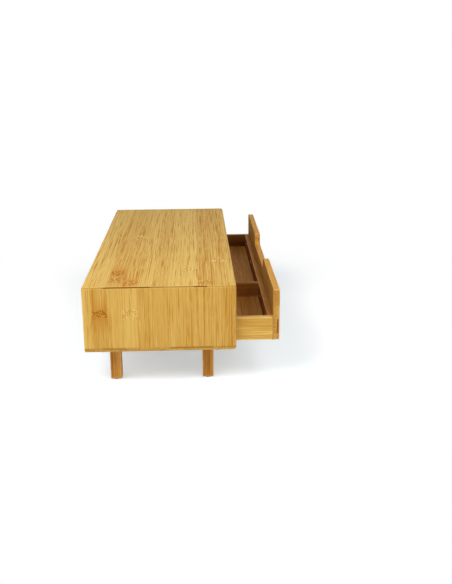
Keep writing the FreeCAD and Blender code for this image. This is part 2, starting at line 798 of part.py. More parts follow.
def make_drawer():
    """Everything that slides."""
    make_drawer_front()
    make_drawer_inner_front()
    make_drawer_back()
    for name, way in ENDS.items():
        make_drawer_side(name, way)
    make_drawer_bottom()
    make_drawer_divider()
    make_drawer_dowels()
    make_front_screws()


def check_model():
    """Stop if any object failed, any cut took nothing away, or any piece isn't sound."""
    for item in doc.Objects:
        if "Invalid" in item.State or "Error" in item.State:
            raise RuntimeError(f"{item.Label} failed: {item.State}")
        if item.TypeId in CUTS and item.Shape.Volume > item.BaseFeature.Shape.Volume - 0.01:
            raise RuntimeError(f"{item.Label} cuts nothing")
    for item in nodes:
        if item.Shape.isNull() or not item.Shape.isValid():
            raise RuntimeError(f"{item.Label} has no sound shape")


def write_parts():
    """One STEP file per node."""
    os.makedirs("parts", exist_ok=True)
    for item in nodes:
        item.Shape.exportStep(f"parts/{item.Label}.step")


make_case()
make_drawer()
doc.recompute()
check_model()
write_parts()
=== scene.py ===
import math
from dataclasses import dataclass

import bmesh
import bpy
from mathutils import Matrix, Vector


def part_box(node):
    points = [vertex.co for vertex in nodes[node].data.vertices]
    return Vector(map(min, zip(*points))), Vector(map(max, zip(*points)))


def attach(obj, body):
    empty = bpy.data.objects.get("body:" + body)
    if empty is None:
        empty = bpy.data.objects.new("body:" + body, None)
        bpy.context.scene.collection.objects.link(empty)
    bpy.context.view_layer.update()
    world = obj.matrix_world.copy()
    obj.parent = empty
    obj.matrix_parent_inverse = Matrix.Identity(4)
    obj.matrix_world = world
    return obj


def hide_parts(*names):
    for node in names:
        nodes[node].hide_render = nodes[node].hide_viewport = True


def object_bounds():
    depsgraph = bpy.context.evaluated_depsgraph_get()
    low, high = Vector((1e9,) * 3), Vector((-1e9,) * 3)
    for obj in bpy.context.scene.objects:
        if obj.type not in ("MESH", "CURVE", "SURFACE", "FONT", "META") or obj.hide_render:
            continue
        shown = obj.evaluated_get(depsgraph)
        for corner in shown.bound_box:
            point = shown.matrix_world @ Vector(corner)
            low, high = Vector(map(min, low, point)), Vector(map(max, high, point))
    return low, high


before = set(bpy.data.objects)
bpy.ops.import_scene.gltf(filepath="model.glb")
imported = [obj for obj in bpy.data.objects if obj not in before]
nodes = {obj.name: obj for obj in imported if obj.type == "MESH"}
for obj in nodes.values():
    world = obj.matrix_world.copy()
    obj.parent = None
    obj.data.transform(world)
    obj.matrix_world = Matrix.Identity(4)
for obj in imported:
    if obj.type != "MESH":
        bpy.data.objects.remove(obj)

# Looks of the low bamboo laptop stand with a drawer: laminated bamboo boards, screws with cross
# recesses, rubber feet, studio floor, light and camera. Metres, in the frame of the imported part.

cad_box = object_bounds()
AXES = "XYZ"

# Places read from the frame.
TOP_LOW, TOP_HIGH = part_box("top_panel")
LIP_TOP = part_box("left_end_panel")[0].z
FRONT_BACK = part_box("drawer_front")[1].y


def linear(red, green, blue):
    """A colour written as screen values from 0 to 255, as Blender's linear one."""
    def channel(value):
        value /= 255
        return value / 12.92 if value <= 0.04045 else ((value + 0.055) / 1.055) ** 2.4
    return (channel(red), channel(green), channel(blue), 1)


class Graph:
    """Node tree of one material, or of the world."""

    def __init__(self, owner):
        self.owner = owner
        owner.use_nodes = True
        self.tree = owner.node_tree
        self.tree.nodes.clear()

    def put(self, socket, value):
        """Link an output to an input, or set the input's own value."""
        if isinstance(value, bpy.types.NodeSocket):
            self.tree.links.new(value, socket)
        else:
            socket.default_value = value

    def add(self, kind, inputs=None, **settings):
        """A node with its settings and inputs."""
        node = self.tree.nodes.new(f"ShaderNode{kind}")
        for key, value in settings.items():
            setattr(node, key, value)
        for key, value in (inputs or {}).items():
            self.put(node.inputs[key], value)
        return node

    def math(self, operation, *values, clamp=False):
        """One sum on numbers."""
        node = self.add("Math", operation=operation, use_clamp=clamp)
        for socket, value in zip(node.inputs, values):
            self.put(socket, value)
        return node.outputs[0]

    def product(self, first, *others):
        """Several numbers multiplied together."""
        for other in others:
            first = self.math("MULTIPLY", first, other)
        return first

    def ramp(self, value, low, high, start=0.0, end=1.0):
        """Smooth step from start to end as the value goes from low to high."""
        node = self.add("MapRange", {"Value": value, "From Min": low, "From Max": high,
                                     "To Min": start, "To Max": end},
                        interpolation_type="SMOOTHSTEP")
        return node.outputs["Result"]

    def mix_value(self, factor, first, second):
        """Two numbers mixed."""
        node = self.add("Mix", data_type="FLOAT")
        for socket, value in zip(node.inputs[:1] + node.inputs[2:4], (factor, first, second)):
            self.put(socket, value)
        return node.outputs[0]

    def vector_math(self, operation, *values):
        """One sum on vectors, which gives a vector or a number."""
        node = self.add("VectorMath", operation=operation)
        for socket, value in zip(node.inputs, values):
            self.put(socket, value)
        gives_number = operation in ("LENGTH", "DOT_PRODUCT")
        return node.outputs["Value" if gives_number else "Vector"]

    def vector(self, x, y, z):
        """A vector of three numbers."""
        return self.add("CombineXYZ", {"X": x, "Y": y, "Z": z}).outputs[0]

    def noise(self, vector, detail=2.0, roughness=0.5):
        """Noise from 0 to 1 about 0.5, one feature per unit of the vector."""
        node = self.add("TexNoise", {"Vector": vector, "Scale": 1.0, "Detail": detail,
                                     "Roughness": roughness})
        return node.outputs["Fac"]

    def random(self, x, y, z):
        """Three independent random numbers from 0 to 1 for a whole-numbered place."""
        node = self.add("TexWhiteNoise", {"Vector": self.vector(x, y, z)})
        parts = self.add("SeparateColor", {"Color": node.outputs["Color"]})
        return parts.outputs[0], parts.outputs[1], parts.outputs[2]

    def mix(self, factor, first, second):
        """Two colours mixed."""
        node = self.add("Mix", data_type="RGBA")
        self.put(node.inputs["Factor"], factor)
        self.put(node.inputs[6], first)
        self.put(node.inputs[7], second)
        return node.outputs[2]

    def output(self, shader):
        """The material, with this shader on its surface."""
        self.add("OutputMaterial", {"Surface": shader.outputs[0]})
        return self.owner


def material_graph(name):
    """The empty node tree of a new material."""
    return Graph(bpy.data.materials.new(name))


def give(piece, material):
    """Put a material on a CAD node's object or on another piece."""
    piece.data.materials.clear()
    piece.data.materials.append(material)


def edge_distance(graph, position, box):
    """Distance from a point on a board's surface to the nearest edge of the board's box."""
    gaps = []
    for axis in range(3):
        middle = (box[0][axis] + box[1][axis]) / 2
        half = (box[1][axis] - box[0][axis]) / 2
        away = graph.math("ABSOLUTE", graph.math("SUBTRACT", position[axis], middle))
        gaps.append(graph.math("SUBTRACT", half, away))
    low = graph.math("MINIMUM", gaps[0], gaps[1])
    high = graph.math("MAXIMUM", gaps[0], gaps[1])
    return graph.math("MAXIMUM", low, graph.math("MINIMUM", high, gaps[2]))


# Laminations. The strips of boards that lie flat are shifted, so that their joints on the left end
# fall where the photograph has them.
STRIP_WIDTH = 0.0196
STRIP_SHIFT = 0.0016
FRONT_SHIFT = 0.010
NARROW_STRIP = 0.006
LEG_STRIP = 0.009
LAYER_THICKNESS = 0.003
FRONT_LAYER = 0.0022
JOINT_WIDTH = 0.0005
JOINT_SHARE = 0.45

# Noises: features per metre along the grain and across it, or in every direction.
SWAY_NOISE = (9, 30)
CLOUD_NOISE = (7, 16)
STREAK_NOISE = (18, 380)
DARK_LINE_NOISE = (4, 260)
PALE_LINE_NOISE = (5, 370)
BREAK_NOISE = (30, 300)
FIBRE_NOISE = (30, 1300)
NODE_EDGE_NOISE = (40, 300)
NODE_SPECK_NOISE = (430, 640)
BUNDLE_NOISE = 1150
PATCHY_NOISE = 28

# How far apart noises are taken that would be alike otherwise.
STRIP_LIFT = 40
PALE_LINE_LIFT = 9
BREAK_LIFT = 5

# Values of a noise between which its feature comes in, and the share of it that shows.
SWAY_REACH = 0.0012
CLOUD_SHARE = 0.16
STREAK_RANGE = (0.45, 0.68)
DARK_LINE_WIDTH = 0.08
DARK_LINE_SHARE = 0.55
PALE_LINE_WIDTH = 0.06
PALE_LINE_SHARE = 0.36
BREAK_RANGE = (0.38, 0.62)
BREAK_SHARES = (0.15, 1.0)
FIBRE_RANGE = (0.30, 0.72)
FIBRE_SHARES = (-0.14, 0.18)
CHAR_RANGE = (1.2, 2.2)
CHAR_SHARE = 0.6
CHAR = linear(116, 62, 10)

# Culm nodes: bands across the strips. Lengths are measured from the middle of a band.
NODE_SPACING = 0.31
NODE_EDGE_REACH = 0.014
NODE_CORE = (0.0030, 0.0085)
NODE_HALO = (0.004, 0.030)
NODE_TONES = (0.45, 0.55)
STAIN_LEAST = 0.10
STAIN_IN_STREAKS = 0.60
STAIN_IN_CORE = 0.25
DARK_SPECK_RANGE = (0.50, 0.59)
PALE_SPECK_RANGE = (0.36, 0.46)
DARK_SPECK_SHARES = (0.30, 0.90)
PALE_SPECK_SHARES = (0.80, 0.20)
PALE_SPECK_BLEND = 0.75
NODE_STAIN = linear(186, 112, 8)
NODE_DARK = linear(146, 88, 0)
NODE_PALE = linear(248, 222, 146)

# Cut ends, glue lines, painted highlights along the edges and painted shade on faces. Lengths are
# distances from the joint or edge.
CUT_END_FACING = (0.75, 0.95)
BUNDLE_RANGE = (0.15, 0.42)
BUNDLE_SHARE = 0.30
CUT_END_SHARE = 0.06
CUT_END = linear(128, 78, 28)
GLUE_REACH = (0.0008, 0.0019)
GLUE_RANGE = (0.40, 0.70)
GLUE_SHARES = (0.35, 0.7)
PATCH_SWAY = 0.008
PATCH_FADE = 0.003
GLUE = linear(114, 68, 0)
# Painted highlight: a pale band along the edges of a board, in patches.
HIGHLIGHT_REACH = (0.0005, 0.0022)
HIGHLIGHT_CLEAR = (0.0006, 0.0020)
HIGHLIGHT_RANGE = (0.35, 0.65)
HIGHLIGHT_LEAST = 0.4
HIGHLIGHT_BLEND = 0.5
PAINTED_HIGHLIGHT = linear(250, 222, 160)
# Painted shade: dark red-brown on the faces that look into the drawer.
PAINTED_SHADE_FACING = (0.6, 0.9)
PAINTED_SHADE = linear(86, 26, 2)

# Lacquer: what raises and what lowers its surface, and how rough it is.
FIBRE_HEIGHT = 0.5
STREAK_HEIGHT = 0.3
LINE_DEPTH = 0.15
JOINT_DEPTH = 0.25
PORE_DEPTH = 0.5
LACQUER_BUMP = {"Strength": 0.35, "Distance": 0.0003}
LACQUER_ROUGHNESS = 0.50
FIBRE_ROUGHNESS = 0.16
CUT_END_ROUGHNESS = 0.15
LACQUER_SPECULAR = 0.1


@dataclass
class Look:
    """How a bamboo board looks.

    along, across: axes along the grain and across the strips
    shift: moves the strips across the board
    strip, layer: width of the strips and thickness of the layers
    tones: (across, through, tone) of single strips, where through is None for every layer
    spread: how much the strips differ
    squeeze: above 1 it shortens the streaks, below 1 it lengthens them
    flame: strength of the widest streaks
    lines, fine: strength of the thin lines, and how close together they are
    knot_share: share of the strips that have culm nodes at random places
    knots: (across, along, darkness) of single culm nodes
    knot_length: makes the culm nodes longer along the grain
    end_grain: how dark the cut ends are
    highlight_strength: how strong the painted highlight along the edges is
    joints: (function, strength, patches), where the function gives the distance to a glue line and
        the patches are the (low, high) stretches of Y where it shows at its full strength
    inner, painted_shade_share: way that the face with painted shade looks, and how much painted shade
    it gets
    """
    light: tuple
    dark: tuple
    along: str
    across: str
    shift: float = 0.0
    strip: float = STRIP_WIDTH
    layer: float = LAYER_THICKNESS
    tones: tuple = ()
    spread: float = 0.50
    squeeze: float = 1.0
    flame: float = 0.30
    lines: float = 1.0
    fine: float = 1.0
    knot_share: float = 0.15
    knots: tuple = ()
    knot_length: float = 1.0
    end_grain: float = 1.0
    highlight_strength: float = 0.55
    joints: tuple = ()
    inner: tuple = None
    painted_shade_share: float = 0.0


class Grain:
    """Where a point lies in a board's laminations.

    u, v and w are the point's places along the grain, across the strips and through the layers. bent
    is v on strips that aren't quite straight. row counts strips, and index and layer are whole
    numbers. tone, offset and kind are random for each strip of each layer, and lift follows from
    offset.
    """

    def __init__(self, graph, look, seed):
        self.graph = graph
        self.look = look
        self.seed = seed
        self.along = AXES.index(look.along)
        across = AXES.index(look.across)
        place = graph.add("TexCoord").outputs["Object"]
        self.position = graph.add("SeparateXYZ", {"Vector": place}).outputs
        self.u = self.position[self.along]
        self.v = self.position[across]
        self.w = self.position[3 - self.along - across]
        sway = graph.math("SUBTRACT", graph.noise(self.flat(SWAY_NOISE, seed)), 0.5)
        self.bent = graph.math("MULTIPLY_ADD", sway, SWAY_REACH, self.v)
        self.row = graph.math("DIVIDE", graph.math("ADD", self.bent, look.shift), look.strip)
        self.index = graph.math("FLOOR", self.row)
        self.layer = graph.math("FLOOR", graph.math("DIVIDE", self.w, look.layer))
        self.tone, self.offset, self.kind = graph.random(self.index, self.layer, seed)
        self.lift = graph.product(self.offset, STRIP_LIFT)

    def is_strip(self, across):
        """1 in the strip that a place across the board lies in, and 0 elsewhere."""
        number = math.floor((across + self.look.shift) / self.look.strip)
        return self.graph.math("COMPARE", self.index, float(number), 0.5)

    def is_layer(self, through):
        """1 in the layer that a place through the board lies in, and 0 elsewhere."""
        number = math.floor(through / self.look.layer)
        return self.graph.math("COMPARE", self.layer, float(number), 0.5)

    def flat(self, scale, depth):
        """The place in the plane of the strips, scaled for a noise that ignores the layers.

        depth picks one of the noise's slices.
        """
        return self.graph.vector(self.graph.product(self.u, scale[0]),
                                 self.graph.product(self.v, scale[1]), depth)

    def stretched(self, scale, lift=0.0, squeeze=1.0, fine=1.0):
        """The place scaled for a noise that is long along the grain, and lifted along that noise."""
        along = self.graph.product(self.u, scale[0] * squeeze)
        across = scale[1] * fine
        return self.graph.vector(self.graph.math("ADD", along, lift),
                                 self.graph.product(self.bent, across),
                                 self.graph.product(self.w, across))


def thin_lines(graph, place, width):
    """1 on the lines along which a noise passes through its middle value, 0 away from them."""
    level = graph.noise(place, detail=1, roughness=0.4)
    away = graph.math("ABSOLUTE", graph.math("SUBTRACT", level, 0.5))
    return graph.ramp(away, 0.0, width, 1.0, 0.0)


class Bamboo:
    """Material of one board or leg. The steps of made() each add to its colour."""

    def __init__(self, name, look, box, seed):
        self.graph = material_graph(name)
        self.look = look
        self.box = box
        self.grain = Grain(self.graph, look, seed)
        self.normal = self.graph.add("TexCoord").outputs["Normal"]
        self.colour = None

    def made(self):
        """The finished material."""
        self.add_figure()
        self.add_culm_nodes()
        self.add_strip_joints()
        self.add_cut_ends()
        self.add_edges()
        self.add_painted_shade()
        return self.lacquered()

    def cover(self, share, colour):
        """Mix a share of another colour over the one so far."""
        self.colour = self.graph.mix(share, self.colour, colour)

    def strip_tone(self):
        """Tone of the strip that a point lies in."""
        tone = self.grain.tone
        for across, through, given in self.look.tones:
            same = self.grain.is_strip(across)
            if through is not None:
                same = self.graph.product(same, self.grain.is_layer(through))
            tone = self.graph.mix_value(same, tone, given)
        return tone

    def add_figure(self):
        """Flame-shaped streaks, thin dark and pale lines with breaks in them, and fine fibres."""
        graph, grain, look = self.graph, self.grain, self.look
        streak_place = grain.stretched(STREAK_NOISE, grain.lift, look.squeeze)
        self.streaks = graph.noise(streak_place, detail=3, roughness=0.55)
        dark_place = grain.stretched(DARK_LINE_NOISE, grain.lift, fine=look.fine)
        self.dark_lines = thin_lines(graph, dark_place, DARK_LINE_WIDTH)
        pale_lift = graph.math("ADD", grain.lift, PALE_LINE_LIFT)
        pale_place = grain.stretched(PALE_LINE_NOISE, pale_lift, fine=look.fine)
        pale_lines = thin_lines(graph, pale_place, PALE_LINE_WIDTH)
        break_lift = graph.math("ADD", grain.lift, BREAK_LIFT)
        breaks = graph.noise(grain.stretched(BREAK_NOISE, break_lift, look.squeeze))
        breaks = graph.ramp(breaks, *BREAK_RANGE, *BREAK_SHARES)
        self.fibres = graph.noise(grain.stretched(FIBRE_NOISE, grain.lift), roughness=0.6)
        clouds = graph.product(graph.noise(grain.flat(CLOUD_NOISE, grain.seed)), CLOUD_SHARE)
        depth = graph.math("MULTIPLY_ADD", self.strip_tone(), look.spread, clouds)
        for share in (graph.ramp(self.streaks, *STREAK_RANGE, 0.0, look.flame),
                      graph.product(self.dark_lines, breaks, DARK_LINE_SHARE * look.lines),
                      graph.product(pale_lines, breaks, -PALE_LINE_SHARE * look.lines),
                      graph.ramp(self.fibres, *FIBRE_RANGE, *FIBRE_SHARES)):
            depth = graph.math("ADD", depth, share)
        self.colour = graph.mix(graph.math("ADD", depth, 0.0, clamp=True), look.light, look.dark)
        self.cover(graph.ramp(depth, *CHAR_RANGE, 0.0, CHAR_SHARE), CHAR)

    def nearest_culm_node(self):
        """Distance along the grain to the nearest culm node, and how dark that node is.

        The distance is divided by knot_length, so that a larger one makes longer nodes.
        """
        graph, grain, look = self.graph, self.grain, self.look
        ragged = graph.noise(grain.flat(NODE_EDGE_NOISE, 0), roughness=0.6)
        ragged = graph.math("SUBTRACT", ragged, 0.5)
        place = graph.math("MULTIPLY_ADD", ragged, NODE_EDGE_REACH, grain.u)
        cell = graph.math("ADD", graph.math("DIVIDE", place, NODE_SPACING), grain.offset)
        away = graph.math("ABSOLUTE", graph.math("SUBTRACT", graph.math("FRACT", cell), 0.5))
        away = graph.product(away, NODE_SPACING)
        chosen = graph.math("GREATER_THAN", look.knot_share, grain.kind)
        away = graph.mix_value(chosen, NODE_SPACING, away)
        darkness = graph.ramp(grain.tone, *NODE_TONES)
        for across, along, knot_darkness in look.knots:
            reach = graph.math("ABSOLUTE", graph.math("SUBTRACT", place, along))
            nearer = graph.product(grain.is_strip(across), graph.math("LESS_THAN", reach, away))
            away = graph.mix_value(nearer, away, reach)
            darkness = graph.mix_value(nearer, darkness, knot_darkness)
        return graph.product(away, 1 / look.knot_length), darkness

    def add_culm_nodes(self):
        """Dark and pale specks in a band, inside a stain that fades along the grain."""
        graph = self.graph
        away, darkness = self.nearest_culm_node()
        core = graph.ramp(away, *NODE_CORE, 1.0, 0.0)
        halo = graph.ramp(away, *NODE_HALO, 1.0, 0.0)
        stain = graph.math("MULTIPLY_ADD", self.streaks, STAIN_IN_STREAKS, STAIN_LEAST)
        stain = graph.math("MULTIPLY_ADD", core, STAIN_IN_CORE, stain)
        self.cover(graph.product(halo, darkness, stain), NODE_STAIN)
        pattern = self.grain.stretched(NODE_SPECK_NOISE, squeeze=1 / self.look.knot_length)
        pattern = graph.noise(pattern)
        dark_specks = graph.product(core, graph.ramp(pattern, *DARK_SPECK_RANGE))
        dark_share = graph.mix_value(darkness, *DARK_SPECK_SHARES)
        self.cover(graph.product(dark_specks, dark_share), NODE_DARK)
        pale_specks = graph.product(core, graph.ramp(pattern, *PALE_SPECK_RANGE, 1.0, 0.0))
        pale_share = graph.mix_value(darkness, *PALE_SPECK_SHARES)
        pale = graph.mix(PALE_SPECK_BLEND, self.look.light, NODE_PALE)
        self.cover(graph.product(pale_specks, pale_share), pale)

    def add_strip_joints(self):
        """Darker joints between the strips."""
        graph = self.graph
        row = graph.math("FRACT", self.grain.row)
        side = graph.math("ABSOLUTE", graph.math("SUBTRACT", row, 0.5))
        self.seam = graph.ramp(side, 0.5 - JOINT_WIDTH / self.look.strip, 0.5)
        self.cover(graph.product(self.seam, JOINT_SHARE), self.look.dark)

    def add_cut_ends(self):
        """Dark fibre bundles on the faces that cut across the grain."""
        graph, grain, strength = self.graph, self.grain, self.look.end_grain
        facing = graph.add("SeparateXYZ", {"Vector": self.normal}).outputs[grain.along]
        self.cut_end = graph.ramp(graph.math("ABSOLUTE", facing), *CUT_END_FACING)
        place = graph.vector(graph.product(grain.v, BUNDLE_NOISE),
                             graph.product(grain.w, BUNDLE_NOISE), grain.seed)
        bundles = graph.add("TexVoronoi", {"Vector": place}).outputs["Distance"]
        self.pores = graph.ramp(bundles, *BUNDLE_RANGE, 1.0, 0.0)
        shade = graph.math("MULTIPLY_ADD", self.pores, BUNDLE_SHARE * strength,
                           CUT_END_SHARE * strength)
        self.cover(graph.product(self.cut_end, shade), CUT_END)

    def glue_line(self, away, strength, patches, patchy):
        """Share of glue at a distance from a joint, uneven, and full in the patches along Y."""
        graph = self.graph
        sway = graph.math("SUBTRACT", patchy, 0.5)
        showing = graph.ramp(patchy, *GLUE_RANGE, *(share * strength for share in GLUE_SHARES))
        for low, high in patches:
            from_middle = graph.math("SUBTRACT", self.grain.position[1], (low + high) / 2)
            inside = graph.math("SUBTRACT", (high - low) / 2, graph.math("ABSOLUTE", from_middle))
            inside = graph.math("MULTIPLY_ADD", sway, PATCH_SWAY, inside)
            patch = graph.ramp(inside, -PATCH_FADE, PATCH_FADE, 0.0, strength)
            showing = graph.math("MAXIMUM", showing, patch)
        return graph.product(graph.ramp(away, *GLUE_REACH, 1.0, 0.0), showing)

    def add_edges(self):
        """Painted highlights along the edges, except at the glued joints, and the joints' glue lines.
        """
        graph, position, highlight_strength = self.graph, self.grain.position, self.look.highlight_strength
        place = graph.vector(*(graph.product(part, PATCHY_NOISE) for part in position))
        patchy = graph.noise(place)
        # Painted highlight along the edges, cleared near the glue lines.
        highlight = graph.ramp(edge_distance(graph, position, self.box), *HIGHLIGHT_REACH, 1.0, 0.0)
        highlight = graph.product(highlight, graph.ramp(patchy, *HIGHLIGHT_RANGE, HIGHLIGHT_LEAST * highlight_strength, highlight_strength))
        glue_lines = []
        for joint, strength, patches in self.look.joints:
            away = graph.math("ABSOLUTE", joint(graph, position))
            highlight = graph.product(highlight, graph.ramp(away, *HIGHLIGHT_CLEAR))
            glue_lines.append(self.glue_line(away, strength, patches, patchy))
        self.cover(highlight, graph.mix(HIGHLIGHT_BLEND, self.look.light, PAINTED_HIGHLIGHT))
        for share in glue_lines:
            self.cover(share, GLUE)

    def add_painted_shade(self):
        """Painted shade: a darker tone on the face that looks along the direction inner."""
        self.shade = None
        if self.look.inner:
            facing = self.graph.vector_math("DOT_PRODUCT", self.normal, self.look.inner)
            self.shade = self.graph.ramp(facing, *PAINTED_SHADE_FACING, 0.0, self.look.painted_shade_share)
            self.cover(self.shade, PAINTED_SHADE)

    def lacquered(self):
        """Satin lacquer over open fibres. The face with painted shade is also duller."""
        graph = self.graph
        height = graph.product(self.streaks, STREAK_HEIGHT)
        height = graph.math("MULTIPLY_ADD", self.fibres, FIBRE_HEIGHT, height)
        for lower in (graph.product(self.dark_lines, LINE_DEPTH),
                      graph.product(self.seam, JOINT_DEPTH),
                      graph.product(self.cut_end, self.pores, PORE_DEPTH)):
            height = graph.math("SUBTRACT", height, lower)
        bump = graph.add("Bump", {**LACQUER_BUMP, "Height": height})
        roughness = graph.math("MULTIPLY_ADD", self.fibres, FIBRE_ROUGHNESS, LACQUER_ROUGHNESS)
        roughness = graph.math("MULTIPLY_ADD", self.cut_end, CUT_END_ROUGHNESS, roughness)
        if self.shade:
            roughness = graph.mix_value(self.shade, roughness, 1.0)
        shader = graph.add("BsdfPrincipled", {
            "Base Color": self.colour, "Roughness": roughness, "Normal": bump.outputs[0],
            "Specular IOR Level": LACQUER_SPECULAR,
        })
        return graph.output(shader)


# The mitres come out on the top and the ends a little below the arris.
MITRE_OFFSET = TOP_HIGH.x - TOP_HIGH.z
MITRE_DROP = 0.0012


def mitre_line(graph, position):
    """Distance to the mitres between the top and the ends, where they come out under the arris."""
    outward = graph.math("ABSOLUTE", position[0])
    across = graph.math("SUBTRACT", outward, position[2])
    return graph.math("SUBTRACT", across, MITRE_OFFSET + MITRE_DROP)


def lip_line(graph, position):
    """Distance to the joint between the end panels and the lip of the bottom."""
    return graph.math("SUBTRACT", position[2], LIP_TOP)


def front_line(graph, position):
    """Distance to the joint between the drawer's front and its box."""
    return graph.math("SUBTRACT", position[1], FRONT_BACK)


# Tones of the boards, by the light that the photograph has on them.
CASE_TONES = (linear(221, 181, 95), linear(184, 126, 34))
TOP_TONES = (linear(222, 187, 104), linear(181, 126, 41))
DRAWER_TONES = (linear(230, 188, 98), linear(190, 134, 46))
FRONT_TONES = (linear(216, 168, 82), linear(170, 106, 30))
# Bottom of the drawer: its bamboo tone, with a redder hue as painted shade.
INSIDE_TONES_WITH_PAINTED_SHADE = (linear(232, 172, 86), linear(184, 108, 34))
# Inner walls of the drawer: bamboo made darker and redder, as painted shade.
PAINTED_SHADE_WALL_TONES = (linear(192, 132, 58), linear(146, 80, 20))
LEG_TONES = (linear(228, 168, 82), linear(164, 100, 28))

# Glued joints that show as lines.
MITRE_PATCHES = ((0.040, 0.102), (-0.034, -0.015))
LIP_PATCHES = ((0.073, 0.106), (-0.041, 0.018))
LIP_JOINT = (lip_line, 0.5, LIP_PATCHES)
CASE_JOINTS = ((mitre_line, 1.0, MITRE_PATCHES), LIP_JOINT)
DRAWER_JOINTS = ((front_line, 0.22, ()),)

# What is the same on both ends of the case, and on both sides of the drawer.
END_LOOK = {"joints": CASE_JOINTS, "flame": 0.14, "squeeze": 1.4, "lines": 1.2}
SIDE_LOOK = {"strip": NARROW_STRIP, "joints": DRAWER_JOINTS, "highlight_strength": 1.0, "lines": 0.6,
             "painted_shade_share": 0.8}

# The front's end faces have a dark stripe in the photograph: a strip of one layer.
FRONT_STRIPE = (0.078, -0.1265, 3.6)

BOARDS = {
    "top_panel": Look(
        *TOP_TONES, "X", "Y", STRIP_SHIFT, joints=CASE_JOINTS, highlight_strength=0.75,
        spread=0.40, squeeze=0.8, flame=0.10, lines=2.0, fine=1.6,
        tones=((0.103, None, 0.5), (0.086, None, 0.8), (0.067, None, 0.7), (-0.065, None, 0.6)),
        knots=((0.086, -0.178, 1.0), (0.086, -0.208, 0.7), (0.067, -0.222, 0.8),
               (-0.008, -0.168, 0.1), (-0.047, -0.120, 0.0), (-0.027, -0.226, 0.4)),
        knot_length=1.9,
    ),
    "left_end_panel": Look(
        *CASE_TONES, "Z", "Y", STRIP_SHIFT,
        tones=((0.122, None, 0.05), (0.107, None, 0.7), (0.088, None, 0.25), (0.069, None, 0.0),
               (0.047, None, 0.6), (0.028, None, 0.5), (0.008, None, 0.35), (-0.012, None, 0.45),
               (-0.031, None, 0.4), (-0.051, None, 0.5), (-0.069, None, 0.85)),
        knot_share=0.0, knots=((0.107, 0.103, 1.0), (0.069, 0.103, 0.0)), **END_LOOK,
    ),
    "right_end_panel": Look(*CASE_TONES, "Z", "Y", STRIP_SHIFT, **END_LOOK),
    "bottom_panel": Look(*CASE_TONES, "X", "Y", STRIP_SHIFT, joints=(LIP_JOINT,), end_grain=0.3),
    "back_panel": Look(*CASE_TONES, "X", "Z", highlight_strength=0.2),
    # inner lays painted shade on the drawer's faces that look into it.
    "drawer_front": Look(
        *FRONT_TONES, "X", "Z", FRONT_SHIFT, layer=FRONT_LAYER, tones=(FRONT_STRIPE,),
        joints=DRAWER_JOINTS, end_grain=0.4, highlight_strength=0.75, inner=(0, 1, 0), painted_shade_share=0.5,
    ),
    "drawer_inner_front": Look(*PAINTED_SHADE_WALL_TONES, "X", "Z", joints=DRAWER_JOINTS, highlight_strength=0.8,
                               inner=(0, 1, 0), painted_shade_share=0.5),
    "drawer_back": Look(*PAINTED_SHADE_WALL_TONES, "X", "Z", inner=(0, -1, 0), painted_shade_share=0.3),
    "drawer_left_side": Look(*DRAWER_TONES, "Y", "Z", inner=(1, 0, 0), **SIDE_LOOK),
    "drawer_right_side": Look(*DRAWER_TONES, "Y", "Z", inner=(-1, 0, 0), **SIDE_LOOK),
    "drawer_bottom": Look(*INSIDE_TONES_WITH_PAINTED_SHADE, "X", "Y", STRIP_SHIFT, knot_share=0.0, flame=0.15),
    "drawer_divider": Look(*PAINTED_SHADE_WALL_TONES, "Y", "Z", highlight_strength=1.0, inner=(-1, 0, 0), painted_shade_share=0.3),
    "left_drawer_guide": Look(*DRAWER_TONES, "Y", "Z"),
    "right_drawer_guide": Look(*DRAWER_TONES, "Y", "Z"),
}
LEG_LOOK = Look(*LEG_TONES, "Z", "Y", strip=LEG_STRIP)


def dress_boards():
    """Bamboo on every board and leg, with a seed of its own."""
    looks = dict(BOARDS)
    for name in sorted(nodes):
        if name.endswith("_leg"):
            looks[name] = LEG_LOOK
    for seed, (name, look) in enumerate(looks.items(), 1):
        give(nodes[name], Bamboo(f"bamboo_{name}", look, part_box(name), seed).made())


# Plain materials: noise and relief of their surface, and how uneven their gloss is.
MOTTLE_RANGE = (0.35, 0.65)
GLOSS_RANGE = (0.3, 0.7)
GLOSS_SPREAD = 0.06
FINE_RELIEF = {"Strength": 0.3, "Distance": 0.0001}


def plain(name, base, roughness, metallic=0.0, mottle=0.1, scale=400.0):
    """A plain material with slightly uneven tone and surface. scale is speckles per metre."""
    graph = material_graph(name)
    place = graph.add("TexCoord").outputs["Object"]
    speckle = graph.add("TexNoise", {"Vector": place, "Scale": scale, "Detail": 3.0}).outputs["Fac"]
    darker = tuple(part * (1 - 2 * mottle) for part in base[:3]) + (1,)
    colour = graph.mix(graph.ramp(speckle, *MOTTLE_RANGE), darker, base)
    relief = graph.add("Bump", {**FINE_RELIEF, "Height": speckle})
    gloss = graph.ramp(speckle, *GLOSS_RANGE, roughness - GLOSS_SPREAD, roughness + GLOSS_SPREAD)
    shader = graph.add("BsdfPrincipled", {
        "Base Color": colour, "Metallic": metallic, "Roughness": gloss, "Normal": relief.outputs[0],
    })
    return graph.output(shader)


